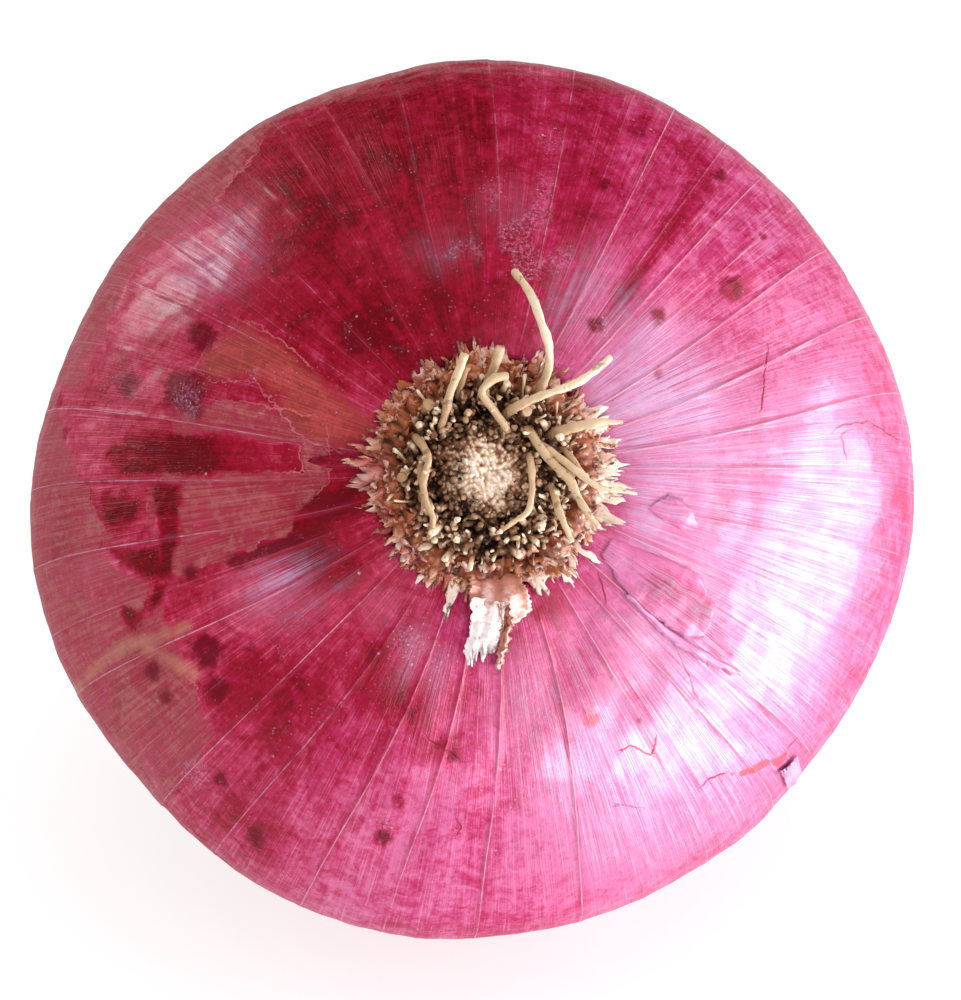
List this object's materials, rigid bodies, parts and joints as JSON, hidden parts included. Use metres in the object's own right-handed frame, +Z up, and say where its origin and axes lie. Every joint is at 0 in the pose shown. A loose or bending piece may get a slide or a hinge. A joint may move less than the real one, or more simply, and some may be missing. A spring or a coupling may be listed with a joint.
{
  "type": "red onion",
  "caption": "Whole red onion: a flattened ribbed globe with a dry neck, a ragged crown of torn scale bases and a root plate with curling dried roots.",
  "frame": {"origin": "on the table, under the middle of the onion's bounding box", "axes": "+Z up; the onion lies on its side, its root end looks towards -Y and 38 degrees up, and its dry neck points towards +Y and down"},
  "size_m": [0.0764, 0.0776, 0.0706],
  "materials": {
    "skin": "glossy dry outer skin, dark crimson to magenta with pale veins",
    "dry_neck": "dull papery, straw brown",
    "dry_scale": "dull papery, tan to orange",
    "root_tissue": "dull, fibrous, cream to brown"
  },
  "bodies": {
    "root": {"bulb": "skin", "neck": "dry_neck", "scale_crown": "dry_scale", "root_plate": "root_tissue"}
  },
  "joints": []
}
